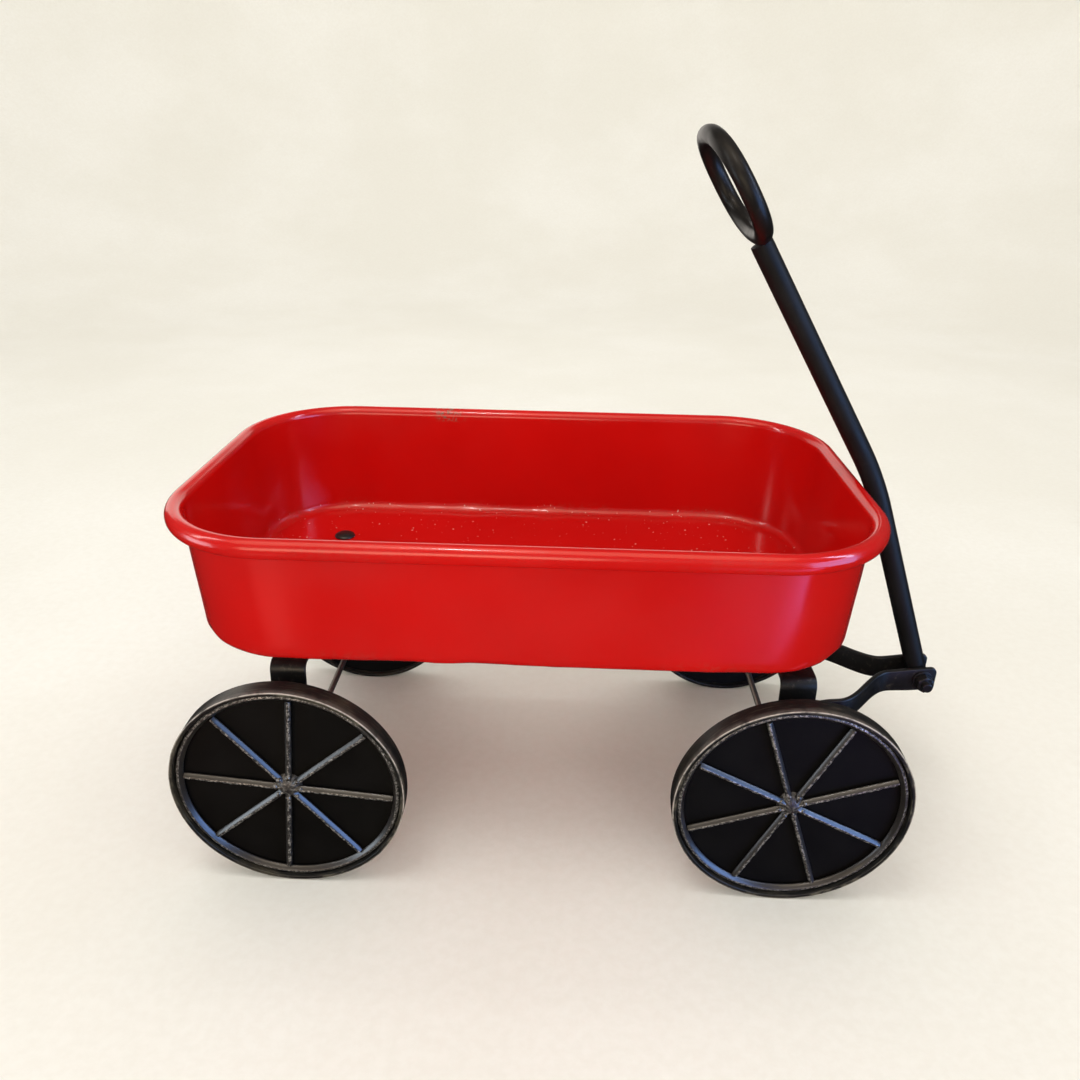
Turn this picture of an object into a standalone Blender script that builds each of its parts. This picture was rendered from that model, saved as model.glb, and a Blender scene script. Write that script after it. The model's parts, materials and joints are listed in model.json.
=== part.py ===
"""Small steel wagon: pressed tray, two strap brackets, spoked disc wheels, steering yoke, pull handle.

Metres, +Z up, +X towards the pull handle, +Y to the wagon's left. The origin is on the ground under
the middle of the whole wagon, yoke included, so the tray's middle lies behind it.
"""
import math

import bmesh
import bpy
from mathutils import Matrix, Vector

# ---------------------------------------------------------------- driving dimensions
GAP = 0.0003                    # between pieces that touch
RUNNING = 0.0001                # radial clearance of a pin in its hole
CUT = 0.010                     # how far a cutter runs past the face it cuts

TRAY_X = -0.0439                # middle of the tray
SHEET = 0.0012                  # tray sheet
TRAY_LENGTH = 0.500             # over the rolled rim
TRAY_WIDTH = 0.305
TRAY_RIM_MID_Z = 0.2804         # middle of the rolled rim
RIM_WIDE = 0.012                # rolled rim, across
RIM_HIGH = 0.014                # rolled rim, up and down
TRAY_BOTTOM_Z = 0.1901
TRAY_BOTTOM_LENGTH = 0.4718     # outside, at the floor
TRAY_BOTTOM_WIDTH = 0.2732
TRAY_CORNER = 0.075             # plan radius of the tray's corners
TRAY_FILLET = 0.0075            # floor to wall

WHEEL_RADIUS = 0.0854
WHEEL_OUTER_Y = 0.1450          # outer edge of the hoop
WHEEL_WIDTH = 0.0154
HOOP_THICK = 0.0030
DISC_THICK = 0.0016
DISC_RECESS = 0.0086            # hoop edge to the disc's outer face
SPOKE_RADIUS = 0.0029
RING_RADIUS = 0.0030
SPOKE_BARS = 4                  # each bar makes two opposite spokes
HOOP_CHAMFER = 0.0006
HUB_BOSS_RADIUS = 0.0100        # lump that the spokes meet at, on the outer face
HUB_BOSS_HIGH = 0.0062
HUB_RADIUS = 0.0075             # sleeve that turns on the axle

AXLE_RADIUS = 0.0025
AXLE_Z = WHEEL_RADIUS
AXLE_END_GAP = 0.0005           # axle end to the inside of the disc
AXLE_WASHER_Y = 0.1193          # inner face, just outside the bracket's leg
AXLE_WASHER_THICK = 0.0014
AXLE_WASHER_RADIUS = 0.0070
REAR_X = TRAY_X - 0.1669
FRONT_X = TRAY_X + 0.1960

STRAP = 0.0030                  # bracket thickness
STRAP_WIDE = 0.0254
STRAP_TOP_Z = 0.1740
STRAP_CORNER_Y = 0.1120         # where the top meets a leg, before rounding
STRAP_FOOT_Y = 0.1180
STRAP_FOOT_Z = 0.0720
STRAP_BEND = 0.0080
STRAP_FOOT_ROUND = 0.0080       # rounding of the foot's two corners

REAR_BOLT_Y = 0.0670
REAR_BOLT_RADIUS = 0.0030
REAR_HEAD_RADIUS = 0.0088
REAR_HEAD_HIGH = 0.0036
REAR_SHANK = 0.0100             # shank below the bracket's top
REAR_SPACER_RADIUS = 0.0090
REAR_WASHER_RADIUS = 0.0075
REAR_WASHER_THICK = 0.0014
REAR_NUT_FLATS = 0.0100
REAR_NUT_HIGH = 0.0052

KINGPIN_RADIUS = 0.0040
KINGPIN_HEAD_RADIUS = 0.0105
KINGPIN_HEAD_HIGH = 0.0044
KINGPIN_SHANK = 0.0140
KINGPIN_WASHER_RADIUS = 0.0095
KINGPIN_WASHER_THICK = 0.0016
KINGPIN_NUT_HIGH = 0.0080
BIG_NUT_FLATS = 0.0130          # kingpin and pivot
POST_RADIUS = 0.0150
POST_FLANGE_RADIUS = 0.0260
POST_FLANGE_EDGE = 0.0025
POST_FLANGE_HIGH = 0.0040
THRUST_RADIUS = 0.0170
THRUST_THICK = 0.0016

PIVOT_X = TRAY_X + 0.3290
PIVOT_Z = 0.1123
PIVOT_RADIUS = 0.0040
PIVOT_WASHER_RADIUS = 0.0083
PIVOT_WASHER_THICK = 0.0016
PIVOT_NUT_HIGH = 0.0065
PIVOT_HEAD_HIGH = 0.0053
PIVOT_STUB = 0.0045             # bolt beyond the nut

ARM_THICK = 0.0040
ARM_HIGH = 0.0190
ARM_END_HIGH = 0.0205           # at the pivot end
ARM_TIP = 0.0110                # beyond the pivot
ARM_TIP_ROUND = 0.0050
ARM_LEAST_HALF = 0.0006         # half height left at the rounded ends
ARM_SWELL = 0.0200              # length over which the bar grows to its end height
ARM_NEAR_Y = 0.0106             # middle of the bar beside the handle
ARM_FAR_Y = 0.0470              # middle of the bar at the axle
ARM_BEND_X = (TRAY_X + 0.252, TRAY_X + 0.302)  # where the bar swings out
ARM_SLOPE = 0.105               # fall of the bar for each metre towards the rear
ARM_DROP_X = TRAY_X + 0.244     # from here back the bar curves down to the axle

TUBE_RADIUS = 0.0080
TUBE_WALL = 0.0015
TUBE_TAIL = 0.0090              # below the pivot
TUBE_KNEE = (TRAY_X + 0.2632, 0.2835)  # x and z where the two straight runs would meet
TUBE_KNEE_RADIUS = 0.250
GRIP_CENTRE = (TRAY_X + 0.1338, 0.4895)  # x and z
GRIP_RADIUS = 0.0061
GRIP_HALF_WIDE = 0.0550
GRIP_HALF_LONG = 0.0367
GRIP_SQUARENESS = 0.85          # 1 is an ellipse, less is squarer
TUBE_PLUG = 0.0040              # solid length of the tube below the grip
GRIP_STEPS = 40                 # points round the loop

FRONT_SPOKE_TURN = math.radians(-19.0)
REAR_SPOKE_TURN = math.radians(5.5)

# ---------------------------------------------------------------- scene and materials
for scene_object in list(bpy.data.objects):
    bpy.data.objects.remove(scene_object, do_unlink=True)

PARTS = bpy.data.collections.new("wagon")
CUTTERS = bpy.data.collections.new("cutters")
for collection in (PARTS, CUTTERS):
    bpy.context.scene.collection.children.link(collection)


def material(name, colour, roughness, metallic):
    made = bpy.data.materials.new(name)
    made.use_nodes = True
    shader = made.node_tree.nodes["Principled BSDF"]
    shader.inputs["Base Color"].default_value = (*colour, 1.0)
    shader.inputs["Roughness"].default_value = roughness
    shader.inputs["Metallic"].default_value = metallic
    return made


RED = material("red_enamel", (0.62, 0.012, 0.012), 0.16, 0.0)
BLACK_SATIN = material("black_strap", (0.018, 0.017, 0.017), 0.45, 0.4)
BLACK_TUBE = material("black_tube", (0.014, 0.015, 0.018), 0.32, 0.3)
BLACK_GLOSS = material("black_grip", (0.012, 0.012, 0.013), 0.12, 0.2)
BLACK_FLAT = material("black_disc", (0.016, 0.015, 0.015), 0.65, 0.2)
TREAD = material("worn_tread", (0.06, 0.047, 0.04), 0.55, 0.6)
SILVERED = material("brushed_spoke", (0.30, 0.28, 0.26), 0.42, 0.8)
FASTENER = material("black_fastener", (0.02, 0.02, 0.022), 0.35, 0.5)
PLAIN_STEEL = material("axle_steel", (0.16, 0.15, 0.14), 0.40, 0.9)


# ---------------------------------------------------------------- helpers
def place(name, mesh, finish, origin=(0, 0, 0)):
    """Link a mesh made in world coordinates, with its object's origin at the given point."""
    mesh.transform(Matrix.Translation(-Vector(origin)))
    made = bpy.data.objects.new(name, mesh)
    made.location = origin
    if finish is not None:
        mesh.materials.clear()
        mesh.materials.append(finish)
    (PARTS if finish is not None else CUTTERS).objects.link(made)
    if finish is None:
        made.hide_render = True
        made.display_type = "WIRE"
    return made


def mesh_from(build):
    """A mesh from a function that fills a bmesh, with all faces pointing out."""
    shape = bmesh.new()
    build(shape)
    bmesh.ops.recalc_face_normals(shape, faces=shape.faces)
    mesh = bpy.data.meshes.new("mesh")
    shape.to_mesh(mesh)
    shape.free()
    return mesh


def along(axis):
    """Turns a shape made along Z to lie along the given row axis."""
    return {"x": Matrix.Rotation(math.pi / 2, 4, "Y"), "y": Matrix.Rotation(-math.pi / 2, 4, "X"),
            "z": Matrix.Identity(4)}[axis]


def rod_mesh(axis, radius, start, end, centre, sides=16):
    """A straight round (or with 6 sides, hexagonal) bar from start to end along an axis."""
    def build(shape):
        turn = Matrix.Translation(centre) @ along(axis) @ Matrix.Translation((0, 0, (start + end) / 2))
        bmesh.ops.create_cone(shape, cap_ends=True, segments=sides, radius1=radius, radius2=radius,
                              depth=end - start, matrix=turn)
    return mesh_from(build)


def turned_mesh(axis, profile, centre, steps=24, closed=False):
    """A profile of (radius, distance along the axis), turned about the axis through a point."""
    profile_mesh = bpy.data.meshes.new("profile")
    points = [(radius, 0.0, distance) for radius, distance in profile]
    edges = [(i, i + 1) for i in range(len(points) - 1)]
    if closed:
        edges.append((len(points) - 1, 0))
    profile_mesh.from_pydata(points, edges, [])
    lathe = bpy.data.objects.new("lathe", profile_mesh)
    CUTTERS.objects.link(lathe)
    screw = lathe.modifiers.new("turn", "SCREW")
    screw.axis = "Z"
    screw.steps = screw.render_steps = steps
    screw.use_merge_vertices = True
    screw.merge_threshold = 0.00001
    mesh = finished_mesh(lathe)
    mesh.transform(Matrix.Translation(centre) @ along(axis))
    return mesh


def finished_mesh(source):
    """The mesh of an object with its modifiers applied, faces out; the object is removed."""
    bpy.context.view_layer.update()
    evaluated = source.evaluated_get(bpy.context.evaluated_depsgraph_get())
    mesh = bpy.data.meshes.new_from_object(evaluated)
    shape = bmesh.new()
    shape.from_mesh(mesh)
    bmesh.ops.remove_doubles(shape, verts=shape.verts, dist=0.000001)
    bmesh.ops.recalc_face_normals(shape, faces=shape.faces)
    shape.to_mesh(mesh)
    shape.free()
    bpy.data.objects.remove(source, do_unlink=True)
    return mesh


def combine(target, tool_mesh, operation="DIFFERENCE"):
    """Cut (or join) an object with a mesh made in world coordinates."""
    tool = place(target.name + "_" + operation.lower(), tool_mesh, None)
    change = target.modifiers.new("boolean", "BOOLEAN")
    change.operation = operation
    change.solver = "EXACT"
    change.object = tool


def rounded_corner(before, corner, after, radius, segments):
    """Points of the arc that rounds a corner between two straight runs."""
    before, corner, after = Vector(before), Vector(corner), Vector(after)
    back, ahead = (before - corner).normalized(), (after - corner).normalized()
    half = back.angle(ahead) / 2
    centre = corner + (back + ahead).normalized() * (radius / math.sin(half))
    first = corner + back * (radius / math.tan(half)) - centre
    last = corner + ahead * (radius / math.tan(half)) - centre
    turn, axis = first.angle(last) / segments, first.cross(last)
    return [centre + Matrix.Rotation(turn * step, 3, axis) @ first for step in range(segments + 1)]


def tube_mesh(points, radius, cyclic=False, resolution=2):
    """A round bar along a run of points, with closed ends."""
    path = bpy.data.curves.new("path", "CURVE")
    path.dimensions = "3D"
    path.bevel_depth = radius
    path.bevel_resolution = resolution
    path.use_fill_caps = not cyclic
    spline = path.splines.new("POLY")
    spline.points.add(len(points) - 1)
    for target, point in zip(spline.points, points):
        target.co = (*point, 1.0)
    spline.use_cyclic_u = cyclic
    holder = bpy.data.objects.new("path", path)
    CUTTERS.objects.link(holder)
    return finished_mesh(holder)


def strip(sections, end_rounding=0.0):
    """An open strip through pairs of points, for Solidify. The end corners can be rounded."""
    def build(shape):
        rows = [[shape.verts.new(point) for point in section] for section in sections]
        for one, two in zip(rows, rows[1:]):
            shape.faces.new((one[0], one[1], two[1], two[0]))
        if end_rounding:
            bmesh.ops.bevel(shape, geom=[*rows[0], *rows[-1]], offset=end_rounding, segments=4,
                            profile=0.5, affect="VERTICES")
    return build


def thicken(mesh, thickness):
    """Solidify an open surface evenly to both sides and return the closed mesh."""
    holder = bpy.data.objects.new("sheet", mesh)
    CUTTERS.objects.link(holder)
    solid = holder.modifiers.new("sheet", "SOLIDIFY")
    solid.thickness = thickness
    solid.offset = 0.0
    solid.use_even_offset = True
    return finished_mesh(holder)


# ---------------------------------------------------------------- tray
def outline(half_length, half_width, radius, segments=9):
    """A rounded rectangle about the tray's middle, anticlockwise."""
    points = []
    for corner, (side_x, side_y) in enumerate(((1, 1), (-1, 1), (-1, -1), (1, -1))):
        for step in range(segments + 1):
            angle = math.radians(90 * (corner + step / segments))
            points.append((TRAY_X + side_x * (half_length - radius) + radius * math.cos(angle),
                           side_y * (half_width - radius) + radius * math.sin(angle)))
    return points


def tray_rings():
    """Rings of the sheet's middle, from the floor up the wall and round the rolled rim."""
    middle = SHEET / 2
    floor_z = TRAY_BOTTOM_Z + middle
    low = (TRAY_BOTTOM_LENGTH / 2 - middle, TRAY_BOTTOM_WIDTH / 2 - middle)
    roll_wide, roll_high = RIM_WIDE / 2 - middle, RIM_HIGH / 2 - middle
    high = (TRAY_LENGTH / 2 - RIM_WIDE + middle, TRAY_WIDTH / 2 - RIM_WIDE + middle)
    rings = []

    def add(base, inset, z):
        rings.append([(x, y, z) for x, y in outline(base[0] - inset, base[1] - inset, TRAY_CORNER - inset)])

    for step in range(5):
        angle = math.radians(90 * step / 4)
        add(low, TRAY_FILLET * (1 - math.sin(angle)), floor_z + TRAY_FILLET * (1 - math.cos(angle)))
    for degrees in range(180, -111, -29):
        angle = math.radians(degrees)
        add(high, -roll_wide * (1 + math.cos(angle)), TRAY_RIM_MID_Z + roll_high * math.sin(angle))
    return rings


def make_tray():
    def build(shape):
        rows = [[shape.verts.new(point) for point in ring] for ring in tray_rings()]
        shape.faces.new(rows[0])
        for one, two in zip(rows, rows[1:]):
            for i in range(len(one)):
                j = (i + 1) % len(one)
                shape.faces.new((one[i], one[j], two[j], two[i]))
    tray = place("tray", thicken(mesh_from(build), SHEET), RED)
    through = (TRAY_BOTTOM_Z - CUT, TRAY_BOTTOM_Z + SHEET + CUT)
    for side in (-1, 1):
        combine(tray, rod_mesh("z", REAR_BOLT_RADIUS + GAP, *through, (REAR_X, side * REAR_BOLT_Y, 0)))
    combine(tray, rod_mesh("z", KINGPIN_RADIUS + GAP, *through, (FRONT_X, 0, 0)))


# ---------------------------------------------------------------- brackets and their fasteners
def strap_path():
    """Middle of the strap from one foot over the top to the other, as (y, z)."""
    top = STRAP_TOP_Z - STRAP / 2
    foot, corner = (STRAP_FOOT_Y, 0, STRAP_FOOT_Z), (STRAP_CORNER_Y, 0, top)
    bend = rounded_corner(foot, corner, (0, 0, top), STRAP_BEND - STRAP / 2, 5)
    half = [Vector(foot), *bend]
    return [(p.x, p.z) for p in half] + [(-p.x, p.z) for p in reversed(half)]


def make_bracket(name, x, origin, top_holes):
    sections = [((x - STRAP_WIDE / 2, y, z), (x + STRAP_WIDE / 2, y, z)) for y, z in strap_path()]
    sheet = mesh_from(strip(sections, STRAP_FOOT_ROUND))
    bracket = place(name, thicken(sheet, STRAP), BLACK_SATIN, origin)
    reach = STRAP_FOOT_Y + CUT
    combine(bracket, rod_mesh("y", AXLE_RADIUS + GAP, -reach, reach, (x, 0, AXLE_Z)))
    for y, radius in top_holes:
        combine(bracket, rod_mesh("z", radius, STRAP_TOP_Z - STRAP - CUT, STRAP_TOP_Z + CUT, (x, y, 0)))


def dome_head(radius, height, base_z, shank_radius, shank_end_z):
    """Profile of a round-headed bolt, from the top of the dome down the outside."""
    dome = [(radius * math.sin(math.radians(angle)), base_z + height * math.cos(math.radians(angle)))
            for angle in (0, 25, 50, 70, 85)]
    return dome + [(radius, base_z), (shank_radius, base_z), (shank_radius, shank_end_z), (0, shank_end_z)]


def ring_profile(inner, outer, low, high):
    return [(outer, high), (outer, low), (inner, low), (inner, high)]


def nut_mesh(axis, across_flats, bore, low, high, centre):
    """A hexagonal nut with its hole."""
    nut = place("nut_blank", rod_mesh(axis, across_flats / math.sqrt(3), low, high, centre, sides=6), None)
    combine(nut, rod_mesh(axis, bore, low - CUT, high + CUT, centre))
    return finished_mesh(nut)


def make_rear_fasteners():
    floor_top = TRAY_BOTTOM_Z + SHEET + GAP
    under = STRAP_TOP_Z - STRAP - GAP
    bore = REAR_BOLT_RADIUS + GAP
    nut_top = under - REAR_WASHER_THICK - GAP
    for side, word in ((1, "left"), (-1, "right")):
        spot = (REAR_X, side * REAR_BOLT_Y, 0)
        bolt = dome_head(REAR_HEAD_RADIUS, REAR_HEAD_HIGH, floor_top, REAR_BOLT_RADIUS, under - REAR_SHANK)
        place("rear_bolt_" + word, turned_mesh("z", bolt, spot), FASTENER)
        spacer = ring_profile(bore, REAR_SPACER_RADIUS, STRAP_TOP_Z + GAP, TRAY_BOTTOM_Z - GAP)
        place("rear_spacer_" + word, turned_mesh("z", spacer, spot, closed=True), BLACK_SATIN)
        washer = ring_profile(bore, REAR_WASHER_RADIUS, under - REAR_WASHER_THICK, under)
        place("rear_washer_" + word, turned_mesh("z", washer, spot, closed=True), FASTENER)
        nut = nut_mesh("z", REAR_NUT_FLATS, bore, nut_top - REAR_NUT_HIGH, nut_top, spot)
        place("rear_nut_" + word, nut, FASTENER)


def make_kingpin():
    floor_top = TRAY_BOTTOM_Z + SHEET + GAP
    washer_top = STRAP_TOP_Z + GAP + THRUST_THICK
    under = STRAP_TOP_Z - STRAP - GAP
    bore = KINGPIN_RADIUS + RUNNING
    nut_top = under - KINGPIN_WASHER_THICK - GAP
    spot = (FRONT_X, 0, 0)
    bolt = dome_head(KINGPIN_HEAD_RADIUS, KINGPIN_HEAD_HIGH, floor_top, KINGPIN_RADIUS, under - KINGPIN_SHANK)
    place("kingpin", turned_mesh("z", bolt, spot), FASTENER)
    post_top = TRAY_BOTTOM_Z - GAP
    post_foot = washer_top + GAP
    post = [(POST_FLANGE_RADIUS, post_top), (POST_FLANGE_RADIUS, post_top - POST_FLANGE_EDGE),
            (POST_RADIUS, post_top - POST_FLANGE_HIGH), (POST_RADIUS, post_foot),
            (bore, post_foot), (bore, post_top)]
    place("turntable_post", turned_mesh("z", post, spot, steps=32, closed=True), BLACK_SATIN)
    thrust = turned_mesh("z", ring_profile(bore, THRUST_RADIUS, STRAP_TOP_Z + GAP, washer_top), spot,
                         steps=32, closed=True)
    place("thrust_washer", thrust, PLAIN_STEEL, (FRONT_X, 0, AXLE_Z))
    washer = ring_profile(bore, KINGPIN_WASHER_RADIUS, under - KINGPIN_WASHER_THICK, under)
    place("kingpin_washer", turned_mesh("z", washer, spot, closed=True), FASTENER)
    nut = nut_mesh("z", BIG_NUT_FLATS, bore, nut_top - KINGPIN_NUT_HIGH, nut_top, spot)
    place("kingpin_nut", nut, FASTENER)


def make_axle(prefix, x):
    centre = (x, 0, AXLE_Z)
    end = WHEEL_OUTER_Y - DISC_RECESS - DISC_THICK - GAP - AXLE_END_GAP
    place(prefix + "_axle", rod_mesh("y", AXLE_RADIUS, -end, end, centre), PLAIN_STEEL, centre)
    washer_end = AXLE_WASHER_Y + AXLE_WASHER_THICK
    profile = ring_profile(AXLE_RADIUS + GAP, AXLE_WASHER_RADIUS, AXLE_WASHER_Y, washer_end)
    for side, word in ((1, "left"), (-1, "right")):
        sided = [(radius, side * distance) for radius, distance in profile]
        washer = turned_mesh("y", sided, centre, steps=20, closed=True)
        place(prefix + "_axle_washer_" + word, washer, FASTENER, centre)


# ---------------------------------------------------------------- wheels
def make_wheel(prefix, x, side, turn):
    """Steel hoop round a flat disc, with a ring and eight welded spokes on the outer face."""
    centre = (x, 0, AXLE_Z)
    outer = WHEEL_OUTER_Y
    inner = outer - WHEEL_WIDTH
    face = outer - DISC_RECESS
    disc_radius = WHEEL_RADIUS - HOOP_THICK - GAP
    bar_y = face + GAP + SPOKE_RADIUS

    def turned(name, profile, finish, steps, closed=True):
        mirrored = [(radius, side * distance) for radius, distance in profile]
        place(prefix + name, turned_mesh("y", mirrored, centre, steps=steps, closed=closed), finish, centre)

    turned("_hoop", [(WHEEL_RADIUS - HOOP_CHAMFER, outer), (WHEEL_RADIUS, outer - HOOP_CHAMFER),
                     (WHEEL_RADIUS, inner + HOOP_CHAMFER), (WHEEL_RADIUS - HOOP_CHAMFER, inner),
                     (WHEEL_RADIUS - HOOP_THICK, inner), (WHEEL_RADIUS - HOOP_THICK, outer)], TREAD, 48)
    back = face - DISC_THICK
    plate = [(0, face), (disc_radius, face), (disc_radius, back), (0, back)]
    turned("_disc", plate, BLACK_FLAT, 48, closed=False)
    ring_middle = disc_radius - RING_RADIUS
    turned("_ring", [(ring_middle + RING_RADIUS * math.cos(math.radians(45 * k)),
                      face + GAP + RING_RADIUS + RING_RADIUS * math.sin(math.radians(45 * k)))
                     for k in range(8)], SILVERED, 48)
    hub_start = AXLE_WASHER_Y + AXLE_WASHER_THICK + GAP
    turned("_hub", ring_profile(AXLE_RADIUS + RUNNING, HUB_RADIUS, hub_start, back - GAP), BLACK_SATIN, 24)

    boss = rod_mesh("y", HUB_BOSS_RADIUS, face + GAP, face + GAP + HUB_BOSS_HIGH, (0, 0, 0))
    spokes = place(prefix + "_spokes", boss, SILVERED)
    reach = ring_middle - RING_RADIUS - GAP
    for bar in range(SPOKE_BARS):
        spoke = rod_mesh("z", SPOKE_RADIUS, -reach, reach, (0, bar_y, 0), sides=8)
        spoke.transform(Matrix.Rotation(math.pi * bar / SPOKE_BARS, 4, "Y"))
        combine(spokes, spoke, "UNION")
    mesh = finished_mesh(spokes)
    mesh.transform(Matrix.Translation(centre) @ Matrix.Rotation(turn, 4, "Y")
                   @ Matrix.Rotation(0 if side > 0 else math.pi, 4, "Z"))
    place(prefix + "_spokes", mesh, SILVERED, centre)


# ---------------------------------------------------------------- yoke
def smooth(value):
    value = min(max(value, 0.0), 1.0)
    return value * value * (3 - 2 * value)


def arm_section(x, side):
    """Lower and upper point of the bar's middle at a distance along the wagon."""
    low_x, high_x = ARM_BEND_X
    y = ARM_FAR_Y + (ARM_NEAR_Y - ARM_FAR_Y) * smooth((x - low_x) / (high_x - low_x))
    middle = PIVOT_Z - (PIVOT_X - x) * ARM_SLOPE
    drop = max(0.0, (ARM_DROP_X - x) / (ARM_DROP_X - FRONT_X))
    middle -= (PIVOT_Z - (PIVOT_X - FRONT_X) * ARM_SLOPE - AXLE_Z) * min(drop, 1.0) ** 1.5
    half = (ARM_HIGH + (ARM_END_HIGH - ARM_HIGH) * smooth((x - high_x) / ARM_SWELL)) / 2
    tip, tail = PIVOT_X + ARM_TIP, FRONT_X - ARM_HIGH / 2
    for distance, radius in ((tip - x, ARM_TIP_ROUND), (x - tail, ARM_HIGH / 2)):
        if distance < radius:
            half -= radius - math.sqrt(max(radius ** 2 - (radius - distance) ** 2, 0))
    half = max(half, ARM_LEAST_HALF)
    return (x, side * y, middle - half), (x, side * y, middle + half)


def make_yoke():
    tip, tail = PIVOT_X + ARM_TIP, FRONT_X - ARM_HIGH / 2
    stations = [tail + distance for distance in (0, 0.0006, 0.0022, 0.0050, 0.0095, 0.0200, 0.0320, 0.0440)]
    bend_start, bend_end = ARM_BEND_X
    stations += [bend_start + (bend_end - bend_start) * step / 10 for step in range(11)]
    stations += [tip - distance for distance in (0.0280, 0.0180, 0.0050, 0.0025, 0.0008, 0)]
    pivot = (PIVOT_X, 0, PIVOT_Z)
    near, far = ARM_NEAR_Y + CUT, ARM_FAR_Y + CUT
    for side, word in ((1, "left"), (-1, "right")):
        bar = mesh_from(strip([arm_section(x, side) for x in stations]))
        arm = place("yoke_arm_" + word, thicken(bar, ARM_THICK), BLACK_SATIN, (FRONT_X, 0, AXLE_Z))
        combine(arm, rod_mesh("y", PIVOT_RADIUS + RUNNING, -near, near, pivot))
        combine(arm, rod_mesh("y", AXLE_RADIUS + GAP, -far, far, (FRONT_X, 0, AXLE_Z)))
    cheek = ARM_NEAR_Y + ARM_THICK / 2 + GAP
    seat = cheek + PIVOT_WASHER_THICK + GAP
    nut_end = seat + PIVOT_NUT_HIGH
    profile = ring_profile(PIVOT_RADIUS + RUNNING, PIVOT_WASHER_RADIUS, cheek, cheek + PIVOT_WASHER_THICK)
    for side, word in ((1, "left"), (-1, "right")):
        washer = [(radius, side * distance) for radius, distance in profile]
        place("pivot_washer_" + word, turned_mesh("y", washer, pivot, closed=True), FASTENER, pivot)
    nut = nut_mesh("y", BIG_NUT_FLATS, PIVOT_RADIUS + RUNNING, -nut_end, -seat, pivot)
    place("pivot_nut", nut, FASTENER, pivot)
    head = rod_mesh("y", BIG_NUT_FLATS / math.sqrt(3), seat, seat + PIVOT_HEAD_HIGH, pivot, sides=6)
    bolt = place("pivot_bolt", head, FASTENER, pivot)
    shank = rod_mesh("y", PIVOT_RADIUS, -nut_end - PIVOT_STUB, seat + PIVOT_HEAD_HIGH / 2, pivot)
    combine(bolt, shank, "UNION")


# ---------------------------------------------------------------- pull handle
def make_handle():
    pivot = Vector((PIVOT_X, 0, PIVOT_Z))
    knee = Vector((TUBE_KNEE[0], 0, TUBE_KNEE[1]))
    grip = Vector((GRIP_CENTRE[0], 0, GRIP_CENTRE[1]))
    lower, upper = (knee - pivot).normalized(), (grip - knee).normalized()
    grip_base = grip - upper * (GRIP_HALF_LONG + GRIP_RADIUS + GAP)
    knee_points = rounded_corner(pivot, knee, grip_base, TUBE_KNEE_RADIUS, 8)
    outside = [pivot - lower * TUBE_TAIL, *knee_points, grip_base]
    inside = [pivot - lower * (TUBE_TAIL + CUT), *knee_points, grip_base - upper * TUBE_PLUG]
    tube = place("handle_tube", tube_mesh(outside, TUBE_RADIUS), BLACK_TUBE, pivot)
    combine(tube, tube_mesh(inside, TUBE_RADIUS - TUBE_WALL))
    reach = TUBE_RADIUS + CUT
    combine(tube, rod_mesh("y", PIVOT_RADIUS + RUNNING, -reach, reach, pivot))

    def loop_point(angle):
        across = math.copysign(abs(math.cos(angle)) ** GRIP_SQUARENESS, math.cos(angle))
        forward = math.copysign(abs(math.sin(angle)) ** GRIP_SQUARENESS, math.sin(angle))
        return grip + Vector((0, GRIP_HALF_WIDE * across, 0)) + upper * (GRIP_HALF_LONG * forward)

    loop = [loop_point(2 * math.pi * step / GRIP_STEPS) for step in range(GRIP_STEPS)]
    place("handle_grip", tube_mesh(loop, GRIP_RADIUS, cyclic=True), BLACK_GLOSS, pivot)


# ---------------------------------------------------------------- assembly
make_tray()
make_bracket("rear_bracket", REAR_X, (0, 0, 0),
             [(side * REAR_BOLT_Y, REAR_BOLT_RADIUS + GAP) for side in (-1, 1)])
make_rear_fasteners()
make_kingpin()
make_bracket("front_bracket", FRONT_X, (FRONT_X, 0, AXLE_Z), [(0, KINGPIN_RADIUS + RUNNING)])
AXLES = (("rear", REAR_X, REAR_SPOKE_TURN), ("front", FRONT_X, FRONT_SPOKE_TURN))
for axle_name, axle_x, spoke_turn in AXLES:
    make_axle(axle_name, axle_x)
    for wheel_side, side_name in ((1, "left"), (-1, "right")):
        make_wheel(axle_name + "_" + side_name + "_wheel", axle_x, wheel_side, spoke_turn)
make_yoke()
make_handle()
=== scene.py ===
"""Looks of the small red pull wagon: fine meshes, procedural materials, floor, lights and camera.

Metres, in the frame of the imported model: +X towards the pull handle, +Y to the wagon's left, +Z up.
"""
import json
import math

import bmesh
import bpy
from mathutils import Matrix, Vector, noise


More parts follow.
